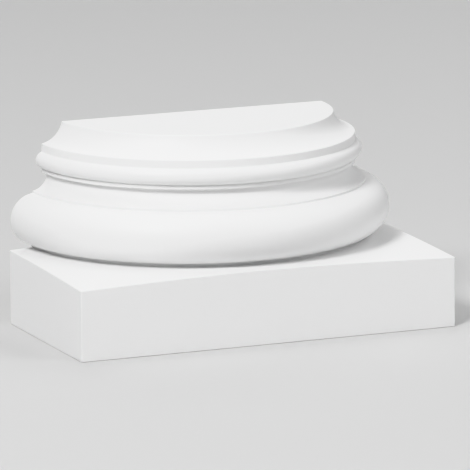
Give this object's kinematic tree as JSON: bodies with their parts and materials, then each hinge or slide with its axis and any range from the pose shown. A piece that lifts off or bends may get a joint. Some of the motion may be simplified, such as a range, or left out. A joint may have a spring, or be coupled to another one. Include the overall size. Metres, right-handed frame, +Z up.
{
  "type": "half column base",
  "caption": "Half-round moulded column base on a square-edged plinth, cast as one piece and cut flat at the back to stand against a wall under a half-round shaft.",
  "frame": {"origin": "middle of the flat underside, under the centre of the bounding box", "axes": "+Z up towards the shaft seat, +X along the wall, +Y into the wall behind the flat back"},
  "size_m": [0.35, 0.174, 0.1774],
  "materials": {
    "primed_white": "smooth white primer with a soft satin sheen over a hard foam casting"
  },
  "bodies": {
    "root": {"half_column_base": "primed_white"}
  },
  "joints": []
}
